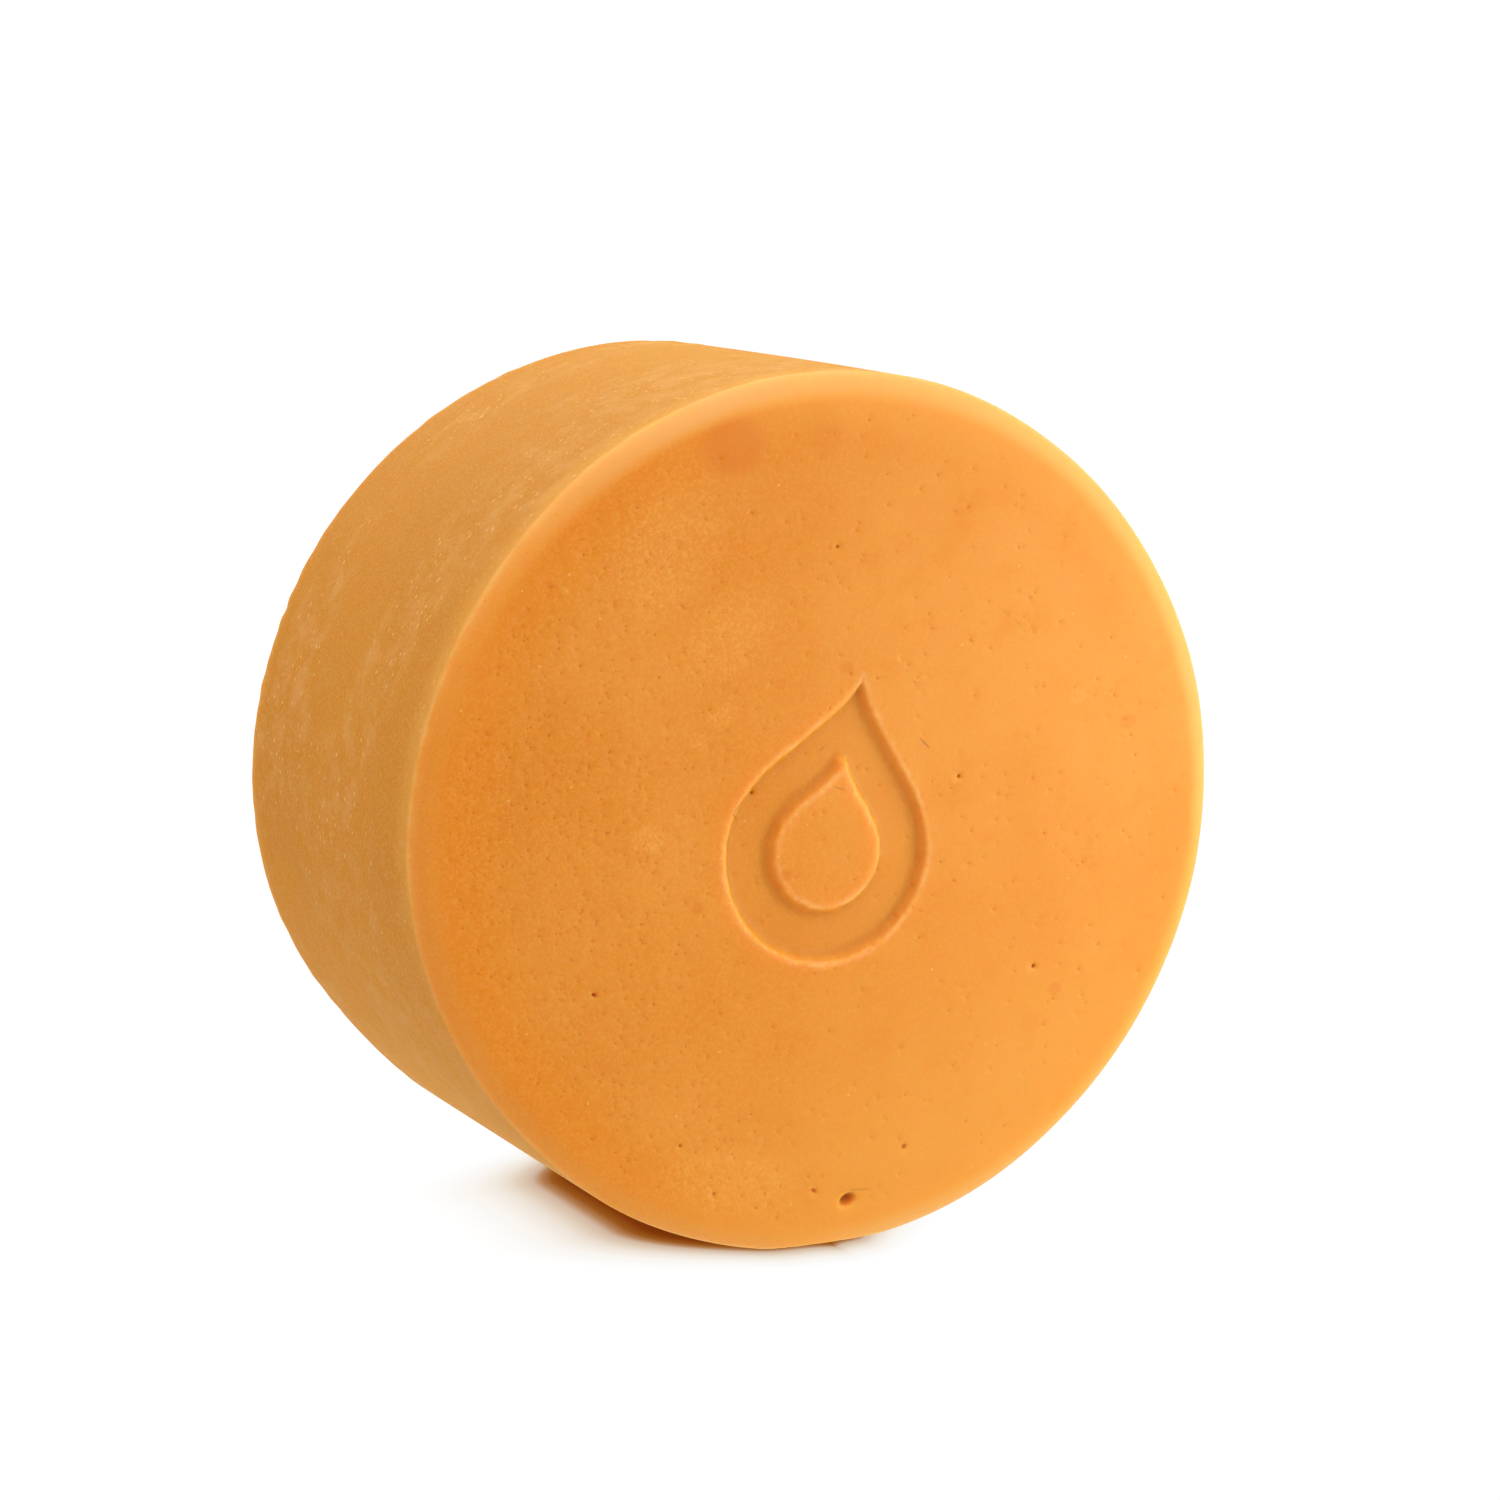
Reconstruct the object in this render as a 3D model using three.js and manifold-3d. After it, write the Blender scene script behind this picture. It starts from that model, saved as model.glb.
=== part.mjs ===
// Shaving soap puck: one cast round of translucent soap, standing on its rim.
//
// Millimetres, +Z up. The puck's axis lies along Y, and its marked face looks along -Y.
// The origin is on the ground, in the middle of the small flat that the puck stands on.

import * as THREE from 'three';
import { mergeVertices } from 'three/addons/utils/BufferGeometryUtils.js';
import Module from 'manifold-3d';

const wasm = await Module();
wasm.setup();

// ---------------------------------------------------------------- driving dimensions

const PUCK_DIAMETER = 62;
const PUCK_THICKNESS = 35;

// The front edge is a soft convex bevel. It leaves the rim at a shallow crease and runs
// smoothly into the face. The back edge is a plain rounding.
const BEVEL_WIDTH = 2.1;
const BEVEL_DEPTH = 1.1;
const BEVEL_CREASE = THREE.MathUtils.degToRad(20);
const BACK_ROUNDING = 2.5;

// The rim is worn flat where the puck stands.
const REST_FLAT_WIDTH = 9;

// The mark is a lather drop in outline, pressed into the face.
const MARK_WIDTH = 16;
const MARK_HEIGHT = 20.5;
const MARK_STROKE = 4;
const MARK_DEPTH = 0.7;
const MARK_TILT = THREE.MathUtils.degToRad(13);

const SOAP_COLOUR = 0xe89440;
const SOAP_ROUGHNESS = 0.45;

// Facets
const RIM_SEGMENTS = 96;
const BEVEL_STEPS = 7;
const ROUNDING_STEPS = 5;
const MARK_CURVE_STEPS = 14;

// ---------------------------------------------------------------- worked out from them

const RADIUS = PUCK_DIAMETER / 2;
const FRONT_Y = -PUCK_THICKNESS / 2;
const BACK_Y = PUCK_THICKNESS / 2;
const AXIS_HEIGHT = Math.sqrt(RADIUS ** 2 - (REST_FLAT_WIDTH / 2) ** 2);
const CUT_MARGIN = 1;

// ---------------------------------------------------------------- solids

// A three.js geometry as a manifold solid: positions only, shared vertices merged, and the
// empty triangles left out that a lathe makes on its axis.
function toSolid(geometry) {
  const bare = geometry.clone();
  bare.deleteAttribute('normal');
  bare.deleteAttribute('uv');
  const merged = mergeVertices(bare, 1e-5);
  const corners = merged.index.array;
  const kept = [];
  for (let i = 0; i < corners.length; i += 3) {
    const [a, b, c] = corners.slice(i, i + 3);
    if (a !== b && b !== c && c !== a) kept.push(a, b, c);
  }
  return new wasm.Manifold(new wasm.Mesh({
    numProp: 3,
    vertProperties: Float32Array.from(merged.attributes.position.array),
    triVerts: Uint32Array.from(kept),
  }));
}

function toGeometry(solid) {
  const mesh = solid.getMesh();
  const geometry = new THREE.BufferGeometry();
  geometry.setAttribute('position', new THREE.BufferAttribute(mesh.vertProperties, 3));
  geometry.setIndex(new THREE.BufferAttribute(mesh.triVerts, 1));
  geometry.computeVertexNormals();
  return geometry;
}

// ---------------------------------------------------------------- body

// The bevel is a stretch of an ellipse, from the crease at the rim to the flat of the face.
function bevelPoint(step) {
  const turn = THREE.MathUtils.lerp(BEVEL_CREASE, Math.PI / 2, step / BEVEL_STEPS);
  const along = Math.cos(turn) / Math.cos(BEVEL_CREASE);
  const rise = (Math.sin(turn) - Math.sin(BEVEL_CREASE)) / (1 - Math.sin(BEVEL_CREASE));
  return new THREE.Vector2(RADIUS - BEVEL_WIDTH * (1 - along), FRONT_Y + BEVEL_DEPTH * (1 - rise));
}

function roundingPoint(step) {
  const turn = (Math.PI / 2) * (step / ROUNDING_STEPS);
  return new THREE.Vector2(
    RADIUS - BACK_ROUNDING * (1 - Math.cos(turn)),
    BACK_Y - BACK_ROUNDING * (1 - Math.sin(turn)),
  );
}

// The profile is turned about Y: out from the face's centre, along the rim, back to the axis.
function puckBlank() {
  const profile = [new THREE.Vector2(0, FRONT_Y)];
  for (let step = BEVEL_STEPS; step >= 0; step -= 1) profile.push(bevelPoint(step));
  for (let step = 0; step <= ROUNDING_STEPS; step += 1) profile.push(roundingPoint(step));
  profile.push(new THREE.Vector2(0, BACK_Y));
  return toSolid(new THREE.LatheGeometry(profile, RIM_SEGMENTS));
}

// All that lies under the flat that the puck stands on.
function groundCutter() {
  const side = PUCK_DIAMETER + 2 * CUT_MARGIN;
  const cutter = new THREE.BoxGeometry(side, PUCK_THICKNESS + 2 * CUT_MARGIN, RADIUS);
  cutter.translate(0, 0, -AXIS_HEIGHT - RADIUS / 2);
  return toSolid(cutter);
}

// ---------------------------------------------------------------- mark

// A drop about its round end's centre: a half circle below, and two flanks that close in a
// point above. A smaller scale gives the outline that lies the same distance inside all round.
function traceDrop(path, scale) {
  const round = (MARK_WIDTH / 2) * scale;
  const point = (MARK_HEIGHT - MARK_WIDTH / 2) * scale;
  path.moveTo(0, point);
  path.bezierCurveTo(-0.25 * round, 0.62 * point, -round, 0.42 * point, -round, 0);
  path.absarc(0, 0, round, Math.PI, 2 * Math.PI, false);
  path.bezierCurveTo(round, 0.42 * point, 0.25 * round, 0.62 * point, 0, point);
  return path;
}

// The groove between two drops, lifted so that the whole mark is centred on the puck's axis.
function markCutter() {
  const outline = traceDrop(new THREE.Shape(), 1);
  outline.holes.push(traceDrop(new THREE.Path(), 1 - (2 * MARK_STROKE) / MARK_WIDTH));
  const cutter = new THREE.ExtrudeGeometry(outline, {
    depth: MARK_DEPTH + CUT_MARGIN,
    bevelEnabled: false,
    curveSegments: MARK_CURVE_STEPS,
  });
  cutter.translate(0, (MARK_WIDTH - MARK_HEIGHT) / 2, 0);
  cutter.rotateZ(-MARK_TILT);
  cutter.rotateX(Math.PI / 2);
  cutter.translate(0, FRONT_Y + MARK_DEPTH, 0);
  return toSolid(cutter);
}

// ---------------------------------------------------------------- the part

function soapPuck() {
  const solid = puckBlank().subtract(groundCutter()).subtract(markCutter());
  const soap = new THREE.MeshStandardMaterial({
    color: SOAP_COLOUR,
    roughness: SOAP_ROUGHNESS,
    metalness: 0,
  });
  const mesh = new THREE.Mesh(toGeometry(solid), soap);
  mesh.name = 'soap_puck';
  mesh.position.z = AXIS_HEIGHT;
  return mesh;
}

const part = new THREE.Group();
part.add(soapPuck());

export default part;
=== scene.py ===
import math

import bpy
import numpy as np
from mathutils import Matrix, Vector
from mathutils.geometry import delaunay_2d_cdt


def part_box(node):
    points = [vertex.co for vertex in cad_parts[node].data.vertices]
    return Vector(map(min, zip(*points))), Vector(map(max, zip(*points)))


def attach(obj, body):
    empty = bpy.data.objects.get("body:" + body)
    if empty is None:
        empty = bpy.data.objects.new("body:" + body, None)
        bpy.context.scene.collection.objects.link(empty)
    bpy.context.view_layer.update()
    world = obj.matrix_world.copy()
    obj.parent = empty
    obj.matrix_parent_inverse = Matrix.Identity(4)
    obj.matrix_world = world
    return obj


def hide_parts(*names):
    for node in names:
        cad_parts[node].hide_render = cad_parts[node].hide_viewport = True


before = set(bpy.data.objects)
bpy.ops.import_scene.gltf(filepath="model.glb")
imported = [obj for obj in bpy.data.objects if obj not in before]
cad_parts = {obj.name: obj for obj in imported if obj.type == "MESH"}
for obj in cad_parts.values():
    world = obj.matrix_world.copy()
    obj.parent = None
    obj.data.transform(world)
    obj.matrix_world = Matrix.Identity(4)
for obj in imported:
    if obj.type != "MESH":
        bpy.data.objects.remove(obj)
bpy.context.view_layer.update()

# Shaving soap puck: a cast round of translucent amber soap standing on its rim.
# Lengths in this script are in millimetres in the puck's own frame, and MM turns them into
# metres where they meet Blender. In that frame the puck's axis is Y, x runs to the right of
# its marked face, and z runs up from the axis.

MM = 0.001

# ------------------------------------------------------------------ sizes from the frame

low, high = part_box("soap_puck")
RADIUS = (high.x - low.x) / 2 / MM
THICKNESS = (high.y - low.y) / MM
AXIS_HEIGHT = high.z / MM - RADIUS
MID_X = (high.x + low.x) / 2 / MM
MID_Y = (high.y + low.y) / 2 / MM
FRONT = -THICKNESS / 2
BACK = THICKNESS / 2

# ------------------------------------------------------------------ edges, as in the CAD

BEVEL_WIDTH = 2.1
BEVEL_DEPTH = 1.1
BEVEL_CREASE = math.radians(20)
BACK_ROUNDING = 2.5
FACE_RADIUS = RADIUS - BEVEL_WIDTH
BACK_FACE_RADIUS = RADIUS - BACK_ROUNDING

# ------------------------------------------------------------------ the mark, as in the CAD

MARK_WIDTH = 16
MARK_HEIGHT = 20.5
MARK_STROKE = 4
MARK_DEPTH = 0.7
MARK_TILT = math.radians(13)
MARK_WALL = 0.65          # how far the pressed walls lean in from lip to floor
MARK_LIP_RISE = 0.03      # soap pushed up beside the groove
MARK_LIP_REACH = 0.55

# ------------------------------------------------------------------ mesh resolution

AROUND = 512              # vertices round the rim
FACE_STEP = 0.5           # between the face's grid points
ROW_SHARE = 0.866         # a row's height over its step, for nearly even triangles
GRID_JITTER = 0.08
OUTLINE_STEP = 0.22       # along the mark's two outlines
FLANK_STEPS = 200
BASE_STEPS = 400
BEVEL_POINTS = 15
ROUNDING_POINTS = 8
SIDE_STEP = 0.75          # along the rim, away from the crease
BACK_STEP = 1.3           # between the back face's rings
SEED = 41


# ================================================================== shape of the drop

def cubic(p0, p1, p2, p3, steps):
    """Points along a cubic Bezier curve, without its last."""
    t = np.linspace(0, 1, steps, endpoint=False)[:, None]
    return (1 - t) ** 3 * p0 + 3 * (1 - t) ** 2 * t * p1 + 3 * (1 - t) * t ** 2 * p2 + t ** 3 * p3


def drop_outline(scale):
    """The drop's outline as points (x, z) on the face, at even spacing, turned and centred."""
    half_width = MARK_WIDTH / 2 * scale
    point = (MARK_HEIGHT - MARK_WIDTH / 2) * scale
    flank = cubic(
        np.array([0, point]),
        np.array([-0.25 * half_width, 0.62 * point]),
        np.array([-half_width, 0.42 * point]),
        np.array([-half_width, 0]),
        FLANK_STEPS,
    )
    turn = np.linspace(math.pi, 2 * math.pi, BASE_STEPS)
    base = half_width * np.c_[np.cos(turn), np.sin(turn)]
    other = (flank * [-1, 1])[::-1]
    line = np.vstack([flank, base, other])
    line[:, 1] += (MARK_WIDTH - MARK_HEIGHT) / 2
    cos, sin = math.cos(MARK_TILT), math.sin(MARK_TILT)
    return even_spacing(line @ np.array([[cos, -sin], [sin, cos]]), OUTLINE_STEP)


def even_spacing(line, step):
    """A closed line's points again, the same distance apart along it."""
    closed = np.vstack([line, line[:1]])
    run = np.r_[0, np.cumsum(np.linalg.norm(np.diff(closed, axis=0), axis=1))]
    count = int(round(run[-1] / step))
    at = np.linspace(0, run[-1], count, endpoint=False)
    return np.c_[np.interp(at, run, closed[:, 0]), np.interp(at, run, closed[:, 1])]


POINTS_AT_ONCE = 2000     # more would take too much memory
LEVEL = 1e-12             # stands in for the rise of a level edge


def signed_distance(points, line):
    """Distance from each point to a closed line, positive inside it."""
    start, end = line, np.roll(line, -1, axis=0)
    edge = end - start
    out = np.empty(len(points))
    for i in range(0, len(points), POINTS_AT_ONCE):
        p = points[i:i + POINTS_AT_ONCE, None, :]
        along = ((p - start) * edge).sum(-1) / (edge ** 2).sum(-1)
        nearest = start + np.clip(along, 0, 1)[..., None] * edge
        away = np.linalg.norm(p - nearest, axis=-1).min(1)
        above = (start[:, 1] > p[..., 1]) != (end[:, 1] > p[..., 1])
        rise = np.where(edge[:, 1] == 0, LEVEL, edge[:, 1])
        crossing = start[:, 0] + (p[..., 1] - start[:, 1]) / rise * edge[:, 0]
        inside = (above & (p[..., 0] < crossing)).sum(1) % 2 == 1
        out[i:i + POINTS_AT_ONCE] = np.where(inside, away, -away)
    return out


def smoothstep(low_edge, high_edge, value):
    """0 up to the first edge and 1 from the second, with a smooth step between."""
    t = np.clip((value - low_edge) / (high_edge - low_edge), 0, 1)
    return t * t * (3 - 2 * t)


OUTER_DROP = drop_outline(1)
INNER_DROP = drop_outline(1 - 2 * MARK_STROKE / MARK_WIDTH)


def groove_inset(points):
    """How far each face point lies inside the groove, negative outside it."""
    return np.minimum(signed_distance(points, OUTER_DROP), -signed_distance(points, INNER_DROP))


# ================================================================== pinholes and pores

# A pit is a small oval dent in the face: x, z, half length, half width, depth, and the angle of
# its length above the x axis. These are the ones that stand out.
LARGE_PITS = [
    (1.2, -27.5, 0.66, 0.44, 0.75, 20),
    (5.7, -24.2, 0.22, 0.17, 0.28, 40),
    (-1.5, -26.5, 0.26, 0.15, 0.25, -35),
    (-11.9, -22.0, 0.14, 0.12, 0.20, 0),
    (-9.3, -25.8, 0.20, 0.15, 0.16, -20),
    (9.9, 2.3, 0.15, 0.15, 0.40, 0),
    (16.2, -12.1, 0.19, 0.16, 0.45, 50),
    (-6.0, 2.3, 0.14, 0.14, 0.35, 0),
    (-18.3, -10.6, 0.22, 0.14, 0.35, -30),
    (0.2, 19.1, 0.15, 0.13, 0.25, 0),
]
PORE_COUNT = 1300


def scatter_pores(rng):
    """Pores, as pits. They crowd towards the face's left and lower left."""
    pores = []
    while len(pores) < PORE_COUNT:
        x, z = rng.uniform(-FACE_RADIUS, FACE_RADIUS, 2)
        keep = rng.uniform()
        length = rng.uniform(0.07, 0.14)
        width = length * rng.uniform(0.5, 0.9)
        depth = width * rng.uniform(0.3, 0.75)
        angle = rng.normal(-40, 25)
        if math.hypot(x, z) > FACE_RADIUS - 0.4:
            continue
        crowd = 0.12 + 0.88 * smoothstep(-4, -23, x + 0.2 * z)
        if keep < crowd:
            pores.append((x, z, length, width, depth, angle))
    return np.array(pores)


def oval(x, z, length, width, angle, share, count):
    """Points on an oval about (x, z), at a share of its half length and half width."""
    turn = (np.arange(count) + 0.5 * (count % 4)) * 2 * math.pi / count
    along, aside = share * length * np.cos(turn), share * width * np.sin(turn)
    cos, sin = math.cos(math.radians(angle)), math.sin(math.radians(angle))
    return np.c_[x + along * cos - aside * sin, z + along * sin + aside * cos]


# ================================================================== the face

# Rings of points round a pit's centre: their size as a share of the pit's, and how many points.
PORE_RINGS = ((0, 1), (0.6, 6), (1.3, 7))
PIT_RINGS = ((0, 1), (0.35, 6), (0.7, 10), (1.0, 12), (1.3, 12))
PIT_LENGTH = 0.3          # a pit longer than this gets the finer rings

# How far each line of points beside the mark's outline lies from it.
MARK_LINES = (-1.1, -0.75, -0.5, -0.32, -0.18, -0.06, 0.06, 0.18, 0.32, 0.5, 0.75, 1.1)

POINT_GAPS = {"mark": 0.1, "pit": 0.035, "grid": 0.28}


def face_vertices(rim, rng, pits):
    """Points (x, z) on the face: the rim's ring, rings along the mark, the pits, then a grid."""
    chosen, gaps = [rim], [0.0]
    for line in (OUTER_DROP, INNER_DROP):
        ahead, behind = np.roll(line, -1, axis=0), np.roll(line, 1, axis=0)
        tangent = ahead - behind
        normal = np.c_[-tangent[:, 1], tangent[:, 0]] / np.linalg.norm(tangent, axis=1)[:, None]
        for offset in MARK_LINES:
            chosen.append(line + normal * offset)
            gaps.append(POINT_GAPS["mark"])
    for x, z, length, width, _, angle in pits:
        for share, count in PIT_RINGS if length > PIT_LENGTH else PORE_RINGS:
            chosen.append(oval(x, z, length, width, angle, share, count))
            gaps.append(POINT_GAPS["pit"])
    rows = int(2 * FACE_RADIUS / (FACE_STEP * ROW_SHARE)) + 1
    columns = int(2 * FACE_RADIUS / FACE_STEP) + 2
    row, column = np.mgrid[0:rows, 0:columns]
    grid = np.c_[
        (column.ravel() + 0.5 * (row.ravel() % 2)) * FACE_STEP - FACE_RADIUS,
        row.ravel() * FACE_STEP * ROW_SHARE - FACE_RADIUS,
    ]
    grid += rng.uniform(-GRID_JITTER, GRID_JITTER, grid.shape)
    chosen.append(grid)
    gaps.append(POINT_GAPS["grid"])
    return thin_out(chosen, gaps)


CELL = 0.25               # the side of the squares that near points are looked up in
RIM_GAP = 0.2             # kept clear inside the face's edge


def thin_out(groups, gaps):
    """Joins the groups, and drops a point that is too near one already kept. Later groups give way."""
    kept, buckets = [], {}
    limit = FACE_RADIUS - RIM_GAP
    for index, (group, gap) in enumerate(zip(groups, gaps)):
        for x, z in group:
            if index and math.hypot(x, z) > limit:
                continue
            column, row = int(math.floor(x / CELL)), int(math.floor(z / CELL))
            reach = 2 if gap > CELL else 1
            near = (
                other
                for i in range(column - reach, column + reach + 1)
                for j in range(row - reach, row + reach + 1)
                for other in buckets.get((i, j), ())
            )
            if any((x - ox) ** 2 + (z - oz) ** 2 < gap * gap for ox, oz in near):
                continue
            buckets.setdefault((column, row), []).append((x, z))
            kept.append((x, z))
    return np.array(kept)


def face_depth(points, pits):
    """(depth into the face, how much each point is in a pit, in the groove, and on its lip)."""
    inset = groove_inset(points) + 0.03 * ripple(points, 1.3) + 0.015 * ripple(points, 0.6)
    floor = smoothstep(0, MARK_WALL, inset)
    lip = MARK_LIP_RISE * np.exp(-((inset + 0.3) / MARK_LIP_REACH) ** 2) * (inset < 0.1)
    depth = MARK_DEPTH * floor - lip * (1 + 0.5 * ripple(points, 0.9)) + 0.02 * ripple(points, 9)
    in_pit = np.zeros(len(points))
    for x, z, length, width, deep, angle in pits:
        near = np.flatnonzero(np.abs(points - (x, z)).max(1) < 2 * length)
        cos, sin = math.cos(math.radians(angle)), math.sin(math.radians(angle))
        dx, dz = points[near, 0] - x, points[near, 1] - z
        away = np.hypot((dx * cos + dz * sin) / length, (dz * cos - dx * sin) / width)
        bowl = 1 - smoothstep(0.3, 1.25, away)
        depth[near] += deep * bowl
        in_pit[near] = np.maximum(in_pit[near], bowl * min(1, 0.5 + 3 * deep))
    # Where the lip's painted highlight goes, broken into dots like the mould's pale beads.
    dotted = smoothstep(0.1, 1.3, ripple(points, 0.55) + ripple(points, 2.6))
    on_lip = np.exp(-((inset + 0.08) / 0.22) ** 2) * (0.45 + 0.55 * dotted)
    return depth, in_pit, floor, on_lip


def ripple(points, wavelength):
    """A smooth uneven pattern between about -1 and 1, with features of about that size."""
    total = np.zeros(len(points))
    for i in range(7):
        angle = 2.4 * i
        stretch = 2 * math.pi / (wavelength * (0.7 + 0.13 * i))
        along = points[:, 0] * math.cos(angle) + points[:, 1] * math.sin(angle)
        total += np.sin(along * stretch + 1.7 * i * i)
    return total / 2.6


# ================================================================== the whole surface

# Where the rim stands proud of its circle or falls short of it: clock angle from the top in
# degrees, spread in degrees, millimetres outwards.
RIM_LUMPS = [(8, 14, 0.14), (130, 13, -0.26), (230, 12, -0.30), (265, 15, 0.24), (308, 20, -0.14)]


def wander(around, along):
    """The rim's slow waviness, left by the mould: millimetres outwards."""
    out = 0.035 * np.sin(7 * around + 0.4 + 0.11 * along) + 0.02 * np.sin(13 * around + 0.16 * along)
    for angle, spread, height in RIM_LUMPS:
        away = (np.degrees(around) - angle + 180) % 360 - 180
        out = out + height * np.exp(-0.5 * (away / spread) ** 2)
    return out


def nibble(around, along):
    """The back edge's uneven, nibbled line, cut when the mould was opened."""
    near_edge = smoothstep(BACK - 4.5, BACK - 1.2, along)
    waves = sum(
        np.sin(count * around + 0.37 * count + 1.3 * np.sin(5 * around + count))
        for count in (17, 29, 46, 61, 83, 108)
    )
    notches = np.maximum(0, np.sin(19 * around + 2.3 * np.sin(6 * around) + np.sin(11 * around))) ** 5
    patches = 0.6 + 0.4 * np.sin(4 * around + 1.7 * np.sin(5 * around))
    envelope = patches * (0.75 + 0.25 * np.cos(around - math.radians(235)))
    return near_edge * (0.026 * waves - 0.13 * notches) * envelope


def share_of_waves(radius):
    """How much of the rim's unevenness a place at that radius takes."""
    still = 0.6 * FACE_RADIUS
    return np.clip((radius - still) / (RADIUS - still), 0, 1)


def rim_profile():
    """(radius, y) from the face's edge over the bevel and the rim to the back face's edge."""
    points = []
    for turn in np.linspace(math.pi / 2, BEVEL_CREASE, BEVEL_POINTS):
        across = math.cos(turn) / math.cos(BEVEL_CREASE)
        rise = (math.sin(turn) - math.sin(BEVEL_CREASE)) / (1 - math.sin(BEVEL_CREASE))
        points.append((RADIUS - BEVEL_WIDTH * (1 - across), FRONT + BEVEL_DEPTH * (1 - rise)))
    side_start, side_end = FRONT + BEVEL_DEPTH, BACK - BACK_ROUNDING
    steps = np.r_[0.2, 0.45, 0.8, np.arange(1.4, side_end - side_start - 0.3, SIDE_STEP)]
    points += [(RADIUS, side_start + step) for step in steps]
    for turn in np.linspace(0, math.pi / 2, ROUNDING_POINTS):
        points.append((
            RADIUS - BACK_ROUNDING * (1 - math.cos(turn)),
            BACK - BACK_ROUNDING * (1 - math.sin(turn)),
        ))
    return np.array(points)


def surface_arrays():
    """Vertices, faces and the masks of the whole puck, in millimetres in its own frame."""
    rng = np.random.default_rng(SEED)
    pits = np.vstack([np.array(LARGE_PITS), scatter_pores(rng)])
    turn = np.arange(AROUND) * 2 * math.pi / AROUND
    circle = np.c_[np.sin(turn), np.cos(turn)]

    flat = face_vertices(circle * FACE_RADIUS, rng, pits)
    edges = [(i, (i + 1) % AROUND) for i in range(AROUND)]
    made = delaunay_2d_cdt([Vector(p) for p in flat], edges, [], 1, 1e-7)
    flat = np.array([tuple(v) for v in made[0]])
    origin = {old: new for new, olds in enumerate(made[3]) for old in olds}
    depth, *masks = face_depth(flat, pits)
    fade = smoothstep(FACE_RADIUS, FACE_RADIUS - 0.3, np.hypot(*flat.T))
    reach = np.hypot(*flat.T)
    grown = 1 + share_of_waves(reach) * wander(np.arctan2(*flat.T), FRONT) / np.maximum(reach, 1)
    vertices = [np.c_[flat[:, 0] * grown, FRONT + depth * fade, flat[:, 1] * grown]]
    faces = [tuple(f) for f in made[2]]
    ring = [origin[i] for i in range(AROUND)]

    profile = rim_profile()
    back_rings = np.r_[np.arange(BACK_FACE_RADIUS - 0.9, 1.5, -BACK_STEP), 0.9]
    profile = np.vstack([profile[1:], np.c_[back_rings, np.full(len(back_rings), BACK)]])
    count = len(flat)
    for radius, along in profile:
        reach = radius + share_of_waves(radius) * (wander(turn, along) + nibble(turn, along))
        vertices.append(np.c_[circle[:, 0] * reach, np.full(AROUND, along), circle[:, 1] * reach])
        new_ring = list(range(count, count + AROUND))
        for i in range(AROUND):
            j = (i + 1) % AROUND
            faces.append((ring[i], ring[j], new_ring[j], new_ring[i]))
        ring = new_ring
        count += AROUND
    vertices.append(np.array([[0, BACK, 0]]))
    faces += [(ring[i], ring[(i + 1) % AROUND], count) for i in range(AROUND)]
    beyond_face = np.zeros(count + 1 - len(flat))
    masks = [np.concatenate([mask * fade, beyond_face]) for mask in masks]
    return np.vstack(vertices), faces, dict(zip(("pit", "mark", "lip"), masks))


def make_puck():
    points, faces, masks = surface_arrays()
    points = points + [MID_X, MID_Y, AXIS_HEIGHT]
    points[:, 2] = np.maximum(points[:, 2], 0)
    mesh = bpy.data.meshes.new("soap_body")
    mesh.from_pydata((points * MM).tolist(), [], faces)
    for name, values in masks.items():
        mesh.attributes.new(name, "FLOAT", "POINT").data.foreach_set("value", values.astype(np.float32))
    mesh.polygons.foreach_set("use_smooth", [True] * len(mesh.polygons))
    mesh.validate()
    mesh.update()
    puck = bpy.data.objects.new("soap_body", mesh)
    bpy.context.scene.collection.objects.link(puck)
    return puck


# ================================================================== material

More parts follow.
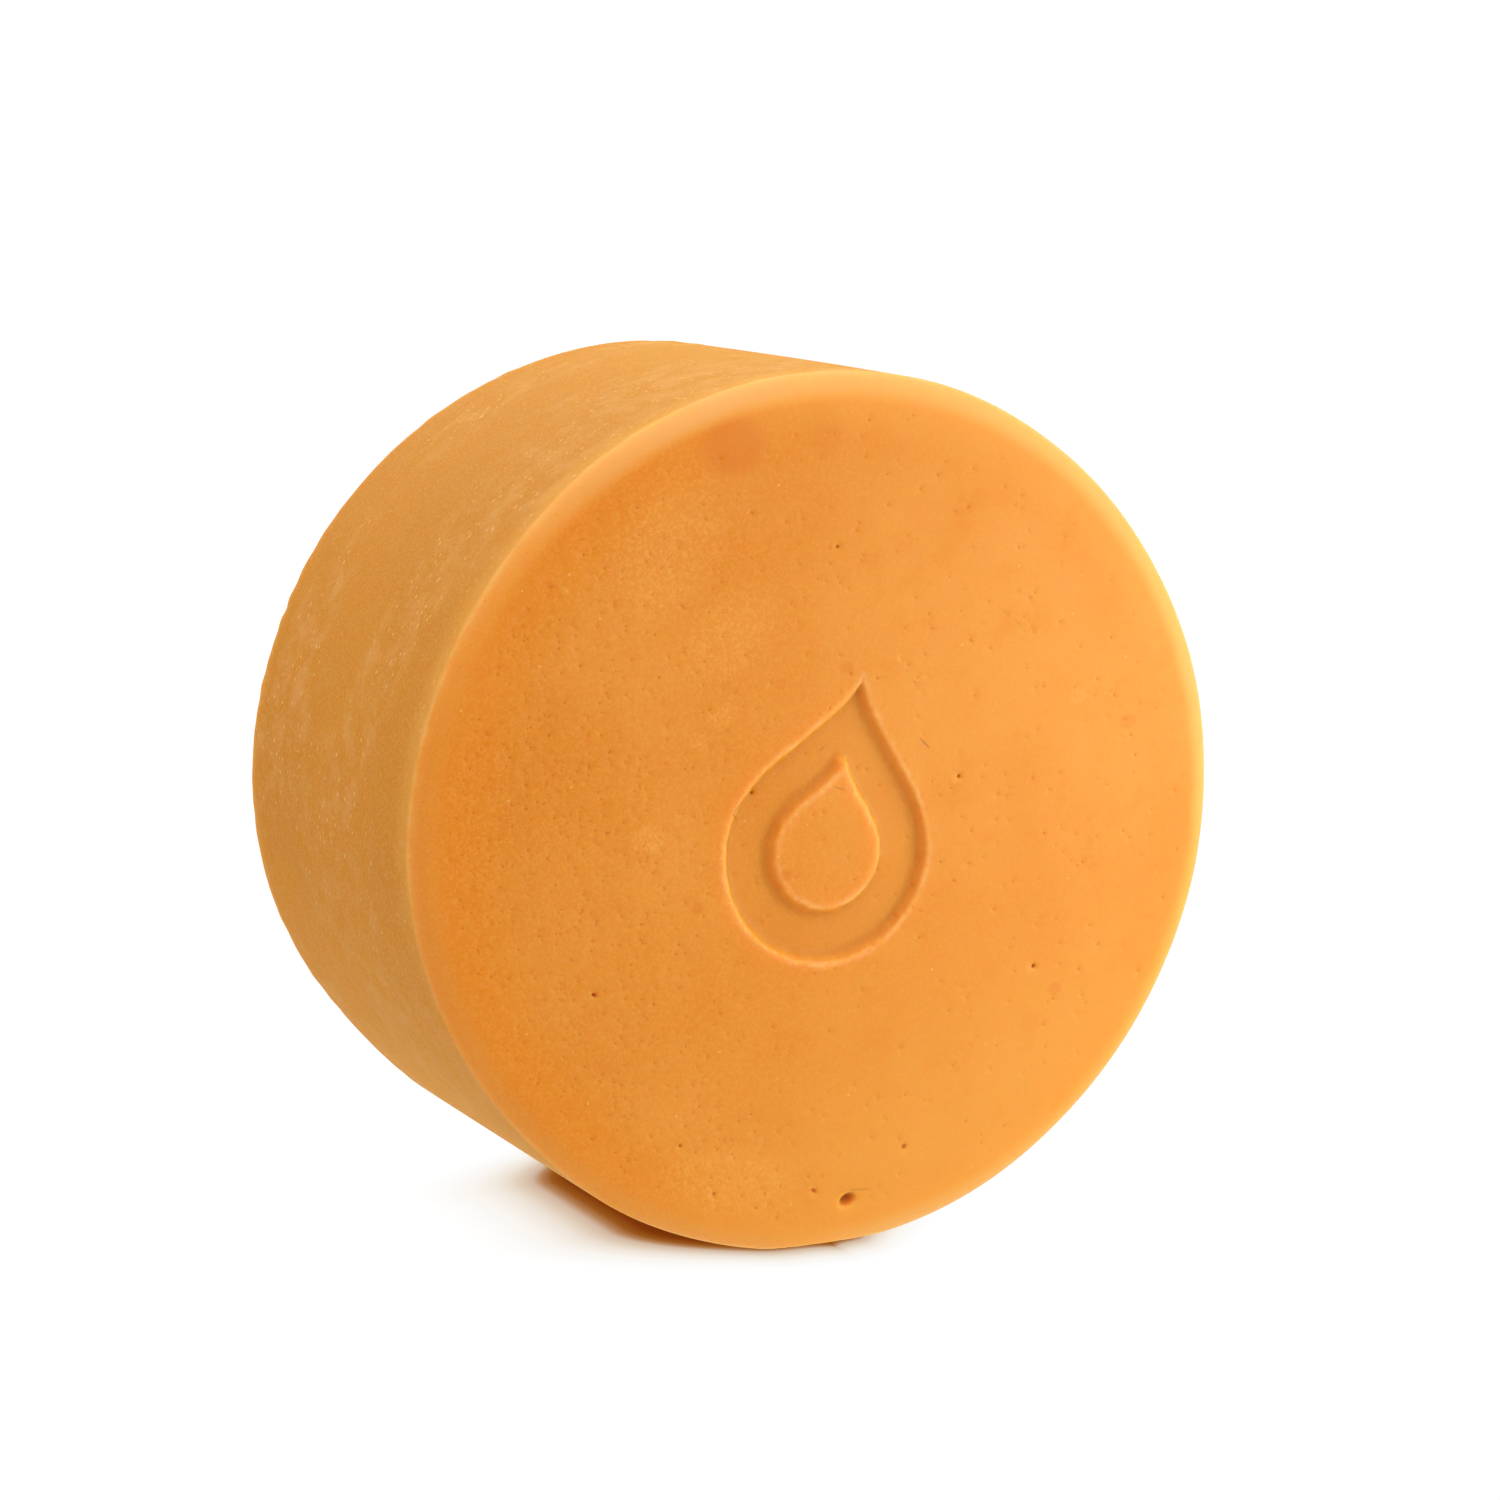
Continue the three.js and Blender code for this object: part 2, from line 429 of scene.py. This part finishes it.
class Shade:
    """Short names for the shader nodes that the materials and the sky are built from."""

    def __init__(self, owner):
        owner.use_nodes = True
        self.tree = owner.node_tree
        self.tree.nodes.clear()

    def node(self, kind, **values):
        made = self.tree.nodes.new(kind)
        for name, value in values.items():
            setattr(made, name, value)
        return made

    def feed(self, socket, value):
        if isinstance(value, bpy.types.NodeSocket):
            self.tree.links.new(value, socket)
        else:
            socket.default_value = value

    def math(self, operation, first, second=0.0, clamp=False):
        made = self.node("ShaderNodeMath", operation=operation, use_clamp=clamp)
        self.feed(made.inputs[0], first)
        self.feed(made.inputs[1], second)
        return made.outputs[0]

    def times(self, *values):
        total = values[0]
        for value in values[1:]:
            total = self.math("MULTIPLY", total, value)
        return total

    def plus(self, *values):
        total = values[0]
        for value in values[1:]:
            total = self.math("ADD", total, value)
        return total

    def split(self, vector):
        made = self.node("ShaderNodeSeparateXYZ")
        self.feed(made.inputs[0], vector)
        return made.outputs

    def join(self, x, y, z):
        made = self.node("ShaderNodeCombineXYZ")
        for socket, value in zip(made.inputs, (x, y, z)):
            self.feed(socket, value)
        return made.outputs[0]

    def ramp(self, value, start, end, first=0.0, last=1.0):
        """A smooth step from first to last as value goes from start to end."""
        made = self.node("ShaderNodeMapRange", interpolation_type="SMOOTHSTEP")
        for name, given in zip(("Value", "From Min", "From Max", "To Min", "To Max"),
                               (value, start, end, first, last)):
            self.feed(made.inputs[name], given)
        return made.outputs[0]

    def hump(self, value, middle, reach):
        """1 where value is at the middle, falling to 0 at the reach on either side."""
        away = self.math("ABSOLUTE", self.math("SUBTRACT", value, middle))
        return self.ramp(away, reach, 0)

    def mix(self, share, first, second):
        made = self.node("ShaderNodeMix", data_type="RGBA")
        self.feed(made.inputs["Factor"], share)
        self.feed(made.inputs["A"], first if not isinstance(first, tuple) else (*first, 1))
        self.feed(made.inputs["B"], second if not isinstance(second, tuple) else (*second, 1))
        return made.outputs["Result"]

    def blend(self, share, first, second):
        """The mix of two vectors."""
        made = self.node("ShaderNodeMix", data_type="VECTOR")
        self.feed(made.inputs["Factor"], share)
        self.feed(made.inputs["A"], first)
        self.feed(made.inputs["B"], second)
        return made.outputs["Result"]

    def noise(self, vector, scale, detail=2.0, roughness=0.5):
        made = self.node("ShaderNodeTexNoise", noise_dimensions="3D")
        self.feed(made.inputs["Vector"], vector)
        self.feed(made.inputs["Scale"], scale)
        self.feed(made.inputs["Detail"], detail)
        self.feed(made.inputs["Roughness"], roughness)
        return made.outputs["Fac"]

    def specks(self, vector, per_mm, size, share):
        """Small round specks, one to a cell, in the given share of the cells."""
        cells = self.node("ShaderNodeTexVoronoi", voronoi_dimensions="3D", feature="F1")
        self.feed(cells.inputs["Vector"], vector)
        self.feed(cells.inputs["Scale"], per_mm)
        chosen = self.math("LESS_THAN", self.split(cells.outputs["Color"])[0], share)
        return self.times(self.ramp(cells.outputs["Distance"], size, size * 0.5), chosen)

    def spot(self, place, x, z, length, width, angle=0, soft=0.4):
        """1 inside an oval at (x, z) and 0 outside it, with a soft edge."""
        into = self.node("ShaderNodeMapping", vector_type="TEXTURE")
        self.feed(into.inputs["Vector"], place)
        into.inputs["Location"].default_value = (x, 0, z)
        into.inputs["Rotation"].default_value = (0, -math.radians(angle), 0)
        into.inputs["Scale"].default_value = (length, 1000, width)
        away = self.node("ShaderNodeVectorMath", operation="LENGTH")
        self.feed(away.inputs[0], into.outputs[0])
        return self.ramp(away.outputs["Value"], 1 + soft, 1 - soft)

    def painted(self, name):
        """A mask that the mesh holds."""
        return self.node("ShaderNodeAttribute", attribute_name=name).outputs["Fac"]

    def surface(self, shader, kind="ShaderNodeOutputMaterial"):
        self.tree.links.new(shader, self.node(kind).inputs["Surface"])


FACE_COLOUR = (0.68, 0.258, 0.026)
FACE_SHADE_COLOUR = (0.62, 0.208, 0.006)       # painted shade: the face's left, away from the key light, and the groove's floor
# painted shade: a deeper band inside the bevel, heaviest on the face's left
RING_SHADE_COLOUR = (0.66, 0.215, 0.003)
# used as a random paler tone on the face, and as painted light on and near the bevel and beside the
# crease
BEVEL_COLOUR = (0.74, 0.345, 0.055)
BEVEL_HIGHLIGHT_COLOUR = (0.70, 0.375, 0.108)        # painted highlight: the bevel where the key light and the floor's light fall most
# painted highlight along the crease between bevel and rim
CREASE_HIGHLIGHT_COLOUR = (0.74, 0.380, 0.100)
EDGE_COLOUR = (0.74, 0.320, 0.040)
SIDE_COLOUR = (0.53, 0.182, 0.002)
HAZE_COLOUR = (0.56, 0.235, 0.045)
TOP_SHADE_COLOUR = (0.44, 0.170, 0.020)         # painted shade: the rim darker where the sky lights it most
FROST_COLOUR = (0.66, 0.320, 0.100)
FLECK_COLOUR = (0.84, 0.500, 0.180)
# painted highlight on the groove's lip, with the mould's pale beads
LIP_HIGHLIGHT_COLOUR = (0.84, 0.500, 0.230)
# painted shade in the pits and pinprick pores
PORE_SHADE_COLOUR = (0.56, 0.150, 0.006)
STAIN_COLOUR = (0.61, 0.182, 0.008)
BLOOM_COLOUR = (0.74, 0.335, 0.055)
HAIR_COLOUR = (0.22, 0.070, 0.010)

GLOW_DEPTH = 3.0          # how far light spreads inside the soap
GRAIN_HEIGHT = 0.02
STREAK_SQUEEZE = 0.45     # below 1, patterns are drawn out along the rim

# Marks in the soap's colour, as x, z, half length, half width, angle, strength.
STAINS = [
    (-7.8, 26.4, 2.3, 1.9, 0, 0.75),
    (-0.8, 27.2, 1.5, 1.6, 0, 0.35),
    (-3.8, -3.6, 0.5, 0.45, 0, 0.7),
    (-10.5, -5.3, 0.45, 0.4, 0, 0.6),
    (17.9, -13.9, 0.5, 0.45, 0, 0.5),
    (1.0, 10.6, 0.5, 0.45, 0, 0.4),
    (-4.2, 9.9, 0.45, 0.4, 0, 0.4),
    (23.7, 5.2, 0.7, 0.5, 10, 0.35),
]
BLOOMS = [
    (-14.2, -0.2, 1.3, 0.9, 0, 0.5),
    (-13.0, 19.5, 5.0, 3.4, 50, 0.3),
    (-8.0, 13.5, 3.6, 2.4, 40, 0.3),
    (-8.6, 8.0, 1.0, 0.8, 30, 0.35),
    (-10.2, 6.3, 0.8, 0.6, 0, 0.35),
    (19.5, 7.4, 0.7, 0.55, 0, 0.5),
    (-8.0, -25.0, 5.0, 2.2, -12, 0.4),
    (5.0, 11.0, 0.34, 0.13, -60, 1.0),
    (-10.0, 20.1, 0.20, 0.12, 40, 0.9),
    (-20.2, 17.4, 0.35, 0.14, -50, 0.7),
]
HAIRS = [
    (-7.6, 1.3, 0.50, 0.07, 60, 0.55),
    (-7.5, 0.8, 0.40, 0.07, -35, 0.5),
    (7.1, 4.9, 0.55, 0.07, -45, 0.55),
    (2.1, -26.9, 0.90, 0.06, -5, 0.5),
    (0.4, 2.2, 0.45, 0.07, -20, 0.35),
    (-0.6, 5.0, 0.35, 0.07, 30, 0.3),
    (-22.9, 21.2, 0.10, 0.10, 0, 0.9),
]


class Places:
    """Where on the puck a shader is, and the patterns that its colours follow."""

    def __init__(self, s):
        # In millimetres: in the puck's own frame, and unrolled along the rim but not behind it.
        centred = s.node("ShaderNodeMapping", vector_type="TEXTURE")
        s.feed(centred.inputs["Vector"], s.node("ShaderNodeTexCoord").outputs["Object"])
        centred.inputs["Location"].default_value = (MID_X * MM, MID_Y * MM, AXIS_HEIGHT * MM)
        centred.inputs["Scale"].default_value = (MM, MM, MM)
        point = centred.outputs[0]
        x, y, z = s.split(point)
        inward = s.math("SUBTRACT", y, FRONT)
        across = s.math("SQRT", s.plus(s.times(x, x), s.times(z, z)))
        turn = s.math("ARCTAN2", x, z)
        behind = s.ramp(inward, THICKNESS - 1.6, THICKNESS - 0.4)
        self.unrolled = s.blend(behind, s.join(s.times(turn, RADIUS), inward, across), point)
        streaks = s.join(s.times(turn, RADIUS * STREAK_SQUEEZE), inward, across)
        self.streaked = s.blend(behind, streaks, point)
        self.point, self.x, self.z = point, x, z

        front = s.ramp(inward, 3, 2)
        self.front = front
        off_face = s.math(
            "MAXIMUM", s.ramp(across, FACE_RADIUS - 0.8, FACE_RADIUS), s.ramp(inward, 2, 3))
        self.on_side = s.times(s.ramp(inward, BEVEL_DEPTH * 0.8, BEVEL_DEPTH * 1.3), off_face)
        self.on_bevel = s.times(s.ramp(across, FACE_RADIUS, RADIUS - 0.7), front)
        self.near_bevel = s.times(s.ramp(across, FACE_RADIUS - 3.5, FACE_RADIUS), front)
        # The ring's painted shade is heaviest on the left, away from the key light.
        leftward = s.ramp(x, 15, -15, 0.25, 0.7)
        self.ring = s.times(s.hump(across, FACE_RADIUS - 1.2, 3.8), front, leftward)
        self.crease = s.times(s.hump(inward, BEVEL_DEPTH, 0.75), off_face)
        self.beside_crease = s.ramp(inward, BEVEL_DEPTH + 3.4, BEVEL_DEPTH)
        self.back_edge = s.ramp(inward, THICKNESS - 3.6, THICKNESS - 0.6)
        # The upper part, where the painted highlights along the crease and beside it show.
        self.raised = s.ramp(z, -16, 6)

        self.cloud = s.noise(point, 0.055, 3)
        self.mottle = s.noise(point, 0.35, 3, 0.6)
        self.grain = s.noise(point, 4.6, 2, 0.75)
        self.dust = s.ramp(self.grain, 0.42, 0.66)


def face_colour(s, at):
    """Darker and deeper in colour towards the face's left as painted shade away from the key light,
    with a deeper ring inside the bevel, also painted shade.
    """
    # Painted shade: the face darker towards its left, away from the key light.
    rightward = s.ramp(s.plus(at.x, s.times(at.z, -0.25)), -28, 24)
    colour = s.mix(rightward, FACE_SHADE_COLOUR, FACE_COLOUR)
    colour = s.mix(s.ramp(at.cloud, 0.32, 0.7, 0.0, 0.3), colour, BEVEL_COLOUR)
    colour = s.mix(s.ramp(at.mottle, 0.5, 0.75, 0.0, 0.25), colour, STAIN_COLOUR)
    # Painted shade: a deeper band inside the bevel.
    colour = s.mix(at.ring, colour, RING_SHADE_COLOUR)
    colour = s.mix(s.times(at.dust, s.ramp(at.x, 20, -20, 0.2, 0.34)), colour, BLOOM_COLOUR)
    colour = s.mix(s.times(s.specks(at.point, 0.9, 0.10, 0.12), 0.5), colour, FLECK_COLOUR)
    # Painted shade: the groove's floor a little darker.
    colour = s.mix(s.times(s.painted("mark"), 0.15), colour, FACE_SHADE_COLOUR)
    dusty = s.ramp(at.dust, 0, 1, 0.45, 1.4)
    kinds = (STAINS, STAIN_COLOUR, 1), (BLOOMS, BLOOM_COLOUR, dusty), (HAIRS, HAIR_COLOUR, 1)
    for marks, tint, share in kinds:
        for *place, strength in marks:
            colour = s.mix(s.times(s.spot(at.point, *place), at.front, share, strength), colour, tint)
    return colour


def bevel_colour(s, at, colour):
    """The face's colour with painted light: paler on the bevel, more so towards the upper right, a
    painted highlight on the bevel's upper right and bottom right, and the face paler near them.
    """
    # Painted light: the bevel paler, more so towards the upper right, where the key light falls.
    bevelled = s.times(at.on_bevel, s.ramp(s.plus(at.x, s.times(at.z, 0.7)), -28, 0, 0.35, 0.8))
    colour = s.mix(bevelled, colour, BEVEL_COLOUR)
    # Painted highlight: the bevel's upper right, facing the key light, and its bottom right, facing the
    # lit floor.
    upper = s.ramp(s.plus(s.times(at.x, 0.5), at.z), 5, 28)
    lower = s.times(s.ramp(at.z, -22, -30, 0, 0.6), s.ramp(at.x, -3, 5))
    colour = s.mix(s.times(at.on_bevel, s.math("MAXIMUM", upper, lower)), colour, BEVEL_HIGHLIGHT_COLOUR)
    # Painted light: the face paler beside the bevel's upper right.
    colour = s.mix(s.times(at.near_bevel, upper, s.ramp(at.x, -14, 4, 0, 0.4)), colour, BEVEL_COLOUR)
    # Painted light: the face and bevel paler towards the lower right.
    downward = s.plus(s.times(at.x, 0.5), s.times(at.z, -1))
    return s.mix(s.times(at.front, s.ramp(downward, 15, 32, 0, 0.4)), colour, BEVEL_COLOUR)


def rim_colour(s, at):
    """Hazy, with short pale flecks in drifts that lie along the rim."""
    haze = s.ramp(s.noise(at.unrolled, 0.45, 5, 0.6), 0.38, 0.74)
    drifts = s.ramp(s.noise(at.streaked, 0.11, 2), 0.36, 0.62)
    flecks = s.times(s.specks(at.streaked, 2.4, 0.20, 0.55), s.ramp(drifts, 0, 1, 0.15, 1))
    flecks = s.times(flecks, s.ramp(at.z, -18, 6, 0.3, 1))
    colour = s.mix(s.ramp(at.cloud, 0.36, 0.64), SIDE_COLOUR, tuple(0.94 * c for c in SIDE_COLOUR))
    hazy = s.plus(s.ramp(at.z, -10, 30, 0.0, 0.3), s.times(haze, s.ramp(drifts, 0, 1, 0.1, 0.5)))
    colour = s.mix(hazy, colour, HAZE_COLOUR)
    # Painted shade: the rim darker towards its top, where the sky lights it most.
    colour = s.mix(s.ramp(at.z, 8, 29, 0, 0.4), colour, TOP_SHADE_COLOUR)
    colour = s.mix(s.times(haze, drifts, s.ramp(at.z, -8, 10, 0.04, 0.30)), colour, FROST_COLOUR)
    colour = s.mix(s.times(at.dust, 0.3), colour, FROST_COLOUR)
    # Painted light: the rim paler beside the crease, on its upper part.
    colour = s.mix(s.times(at.beside_crease, at.raised, 0.35), colour, BEVEL_COLOUR)
    colour = s.mix(s.times(at.back_edge, s.ramp(at.z, 22, 0, 0.25, 0.7)), colour, EDGE_COLOUR)
    return s.mix(s.times(flecks, 0.75), colour, FLECK_COLOUR)


def soap_colour(s, at):
    """The face and the rim together, with a painted highlight along the crease and on the mark's lip,
    and painted shade in the pits.
    """
    colour = bevel_colour(s, at, face_colour(s, at))
    colour = s.mix(at.on_side, colour, rim_colour(s, at))
    # Painted highlight along the crease: uneven, stronger towards the left and on the upper part.
    uneven = s.ramp(s.noise(at.unrolled, 0.5, 3, 0.65), 0.3, 0.7, 0.15, 0.6)
    leftward = s.ramp(s.plus(at.x, s.times(at.z, -0.5)), 18, -12, 0.15, 1.0)
    colour = s.mix(s.times(at.crease, uneven, leftward, at.raised), colour, CREASE_HIGHLIGHT_COLOUR)
    # Painted highlight along the groove's lip, in dots like the mould's pale beads.
    colour = s.mix(s.times(s.painted("lip"), 0.32), colour, LIP_HIGHLIGHT_COLOUR)

    # Painted shade in the pits, and in fine pinprick pores that crowd towards the left.
    crowd = s.ramp(s.plus(at.x, s.times(at.z, 0.35)), -2, -24, 0.2, 1.0)
    sparser = s.ramp(at.on_side, 0, 1, 0.55, 0.15)
    pinpricks = s.times(s.specks(at.point, 1.7, 0.14, 0.45), crowd, sparser)
    pore_shade = s.math("MAXIMUM", s.times(s.painted("pit"), 0.75), pinpricks)
    return s.mix(pore_shade, colour, PORE_SHADE_COLOUR)


def soap_material():
    material = bpy.data.materials.new("soap")
    s = Shade(material)
    at = Places(s)
    shine = s.node("ShaderNodeBsdfPrincipled")
    s.feed(shine.inputs["Base Color"], soap_colour(s, at))
    rough = s.ramp(at.mottle, 0.3, 0.7, 0.42, 0.54)
    s.feed(shine.inputs["Roughness"], s.plus(rough, s.times(at.on_side, 0.3)))
    shine.inputs["Subsurface Weight"].default_value = 1.0
    shine.inputs["Subsurface Radius"].default_value = (1.0, 0.42, 0.12)
    shine.inputs["Subsurface Scale"].default_value = GLOW_DEPTH * MM
    shine.inputs["IOR"].default_value = 1.46
    shine.inputs["Specular IOR Level"].default_value = 0.2
    bump = s.node("ShaderNodeBump")
    bump.inputs["Strength"].default_value = 1.0
    bump.inputs["Distance"].default_value = GRAIN_HEIGHT * MM
    s.feed(bump.inputs["Height"], s.plus(s.times(at.grain, 0.5), s.times(at.mottle, 0.8)))
    s.feed(shine.inputs["Normal"], bump.outputs[0])
    s.surface(shine.outputs[0])
    return material


# ================================================================== stage, light and camera

CAMERA_TURN = math.radians(-25.64)       # round the puck, from straight in front of its face
CAMERA_RISE = math.radians(10.46)
CAMERA_DISTANCE = 289.0
CAMERA_LENS = 94.4
SENSOR_WIDTH = 36
NEAREST_SEEN = 0.01                       # metres
AIM_RIGHT = 1.82                          # the view's middle lies this far from the puck's
AIM_UP = 2.12

KEY_DIRECTION = (0.70, -0.70, 0.0)
KEY_DISTANCE = 130
KEY_SIZE = 110
KEY_POWER = 0.128
SKY_LOW = 0.0            # the sky's light at the horizon, and straight above
SKY_HIGH = 2.12
FLOOR_FRONT = 1.08        # the floor's light in front of the puck, and behind it
FLOOR_BACK = 1.1
SEEN_WHITE = 1.05         # the sky as the camera sees it


def make_camera():
    centre = Vector((MID_X, MID_Y, AXIS_HEIGHT))
    back = Vector((
        math.sin(CAMERA_TURN) * math.cos(CAMERA_RISE),
        -math.cos(CAMERA_TURN) * math.cos(CAMERA_RISE),
        math.sin(CAMERA_RISE),
    ))
    right = Vector((-back.y, back.x, 0)).normalized()
    up = back.cross(right)
    eye = centre + back * CAMERA_DISTANCE
    aim = centre + right * AIM_RIGHT + up * AIM_UP
    camera = bpy.data.objects.new("camera", bpy.data.cameras.new("camera"))
    camera.data.lens = CAMERA_LENS
    camera.data.sensor_width = SENSOR_WIDTH
    camera.data.clip_start = NEAREST_SEEN
    camera.location = eye * MM
    camera.rotation_euler = (aim - eye).to_track_quat("-Z", "Y").to_euler()
    bpy.context.scene.collection.objects.link(camera)
    bpy.context.scene.camera = camera


# The floor as the camera sees it: white, with a painted shadow that is browner and darker under the
# rim's curve. Each colour is for a distance from the line that the puck stands on, in millimetres.
FLOOR_SHADOW_COLOURS = (
    (9.0, (0.150, 0.025, 0.002)),
    (10.5, (0.220, 0.040, 0.003)),
    (11.6, (0.320, 0.095, 0.011)),
    (12.4, (0.460, 0.220, 0.090)),
    (13.2, (0.660, 0.480, 0.360)),
    (14.2, (0.750, 0.612, 0.482)),
    (15.2, (0.842, 0.742, 0.640)),
    (16.4, (0.905, 0.835, 0.760)),
    (18.0, (0.955, 0.920, 0.875)),
    (20.0, (0.980, 0.965, 0.947)),
    (25.0, (1.05, 1.05, 1.05)),
)
SHADE_END = 26
TOUCHING = (5.5, 0, 3.0)          # close to the line the shade is shorter: from, to, how much
SHADE_FRONT = (-7.5, -17.5, 9)    # where the shade starts to narrow, a place beyond, how much there
SHADE_BACK = (5, 12.5, 6)


def floor_material():
    material = bpy.data.materials.new("floor")
    s = Shade(material)
    x, y, _ = s.split(s.node("ShaderNodeTexCoord").outputs["Object"])
    x, y = s.times(x, 1 / MM), s.times(y, 1 / MM)

    # The key light comes from the right, so the shade is narrower there.
    reach = s.math("MAXIMUM", s.times(x, -1), s.times(x, 1.8))
    near, nearest, lost = TOUCHING
    reach = s.plus(reach, s.ramp(reach, near, nearest, 0, lost))
    for start, beyond, narrowing in (SHADE_FRONT, SHADE_BACK):
        past = s.math("MAXIMUM", s.times(s.plus(y, -start), 1 / (beyond - start)), 0)
        reach = s.plus(reach, s.times(past, past, narrowing))
    shades = s.node("ShaderNodeValToRGB")
    band = shades.color_ramp
    while len(band.elements) < len(FLOOR_SHADOW_COLOURS):
        band.elements.new(0.5)
    for element, (at, colour) in zip(band.elements, FLOOR_SHADOW_COLOURS):
        element.position = at / SHADE_END
        element.color = (*colour, 1)
    s.feed(shades.inputs[0], s.times(reach, 1 / SHADE_END))
    seen = s.node("ShaderNodeEmission")
    s.feed(seen.inputs["Color"], shades.outputs[0])

    light = s.node("ShaderNodeEmission")
    s.feed(light.inputs["Strength"], s.ramp(y, -30, 30, FLOOR_FRONT, FLOOR_BACK))
    both = s.node("ShaderNodeMixShader")
    s.feed(both.inputs[0], s.node("ShaderNodeLightPath").outputs["Is Camera Ray"])
    s.tree.links.new(light.outputs[0], both.inputs[1])
    s.tree.links.new(seen.outputs[0], both.inputs[2])
    s.surface(both.outputs[0])
    return material


FLOOR_REACH = 6.0         # metres each way from the puck
FLOOR_DROP = 0.02         # keeps the floor just clear of the puck's flat


def make_floor():
    reach = FLOOR_REACH
    mesh = bpy.data.meshes.new("floor")
    corners = [(-reach, -reach, 0), (reach, -reach, 0), (reach, reach, 0), (-reach, reach, 0)]
    mesh.from_pydata(corners, [], [(0, 1, 2, 3)])
    floor = bpy.data.objects.new("floor", mesh)
    floor.location.z = -FLOOR_DROP * MM
    bpy.context.scene.collection.objects.link(floor)
    mesh.materials.append(floor_material())


def make_light(name, direction, distance, size, power):
    """A square soft box that looks at the puck from a direction."""
    light = bpy.data.lights.new(name, "AREA")
    light.size = size * MM
    light.energy = power
    lamp = bpy.data.objects.new(name, light)
    centre = Vector((MID_X, MID_Y, AXIS_HEIGHT))
    lamp.location = (centre + Vector(direction).normalized() * distance) * MM
    lamp.rotation_euler = (centre * MM - lamp.location).to_track_quat("-Z", "Y").to_euler()
    lamp.visible_camera = False
    bpy.context.scene.collection.objects.link(lamp)


def light_scene():
    world = bpy.data.worlds.new("studio")
    s = Shade(world)
    height = s.split(s.node("ShaderNodeTexCoord").outputs["Generated"])[2]
    seen = s.node("ShaderNodeLightPath").outputs["Is Camera Ray"]
    light = s.ramp(height, 0, 1, SKY_LOW, SKY_HIGH)
    sky = s.node("ShaderNodeBackground")
    sky.inputs["Color"].default_value = (1, 1, 1, 1)
    s.feed(sky.inputs["Strength"], s.ramp(seen, 0, 1, light, SEEN_WHITE))
    s.surface(sky.outputs[0], "ShaderNodeOutputWorld")
    bpy.context.scene.world = world
    make_light("key", KEY_DIRECTION, KEY_DISTANCE, KEY_SIZE, KEY_POWER)
    bpy.context.scene.view_settings.view_transform = "Standard"


# ================================================================== build

make_camera()
puck = make_puck()
puck.data.materials.append(soap_material())
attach(puck, "root")
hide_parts("soap_puck")
make_floor()
light_scene()
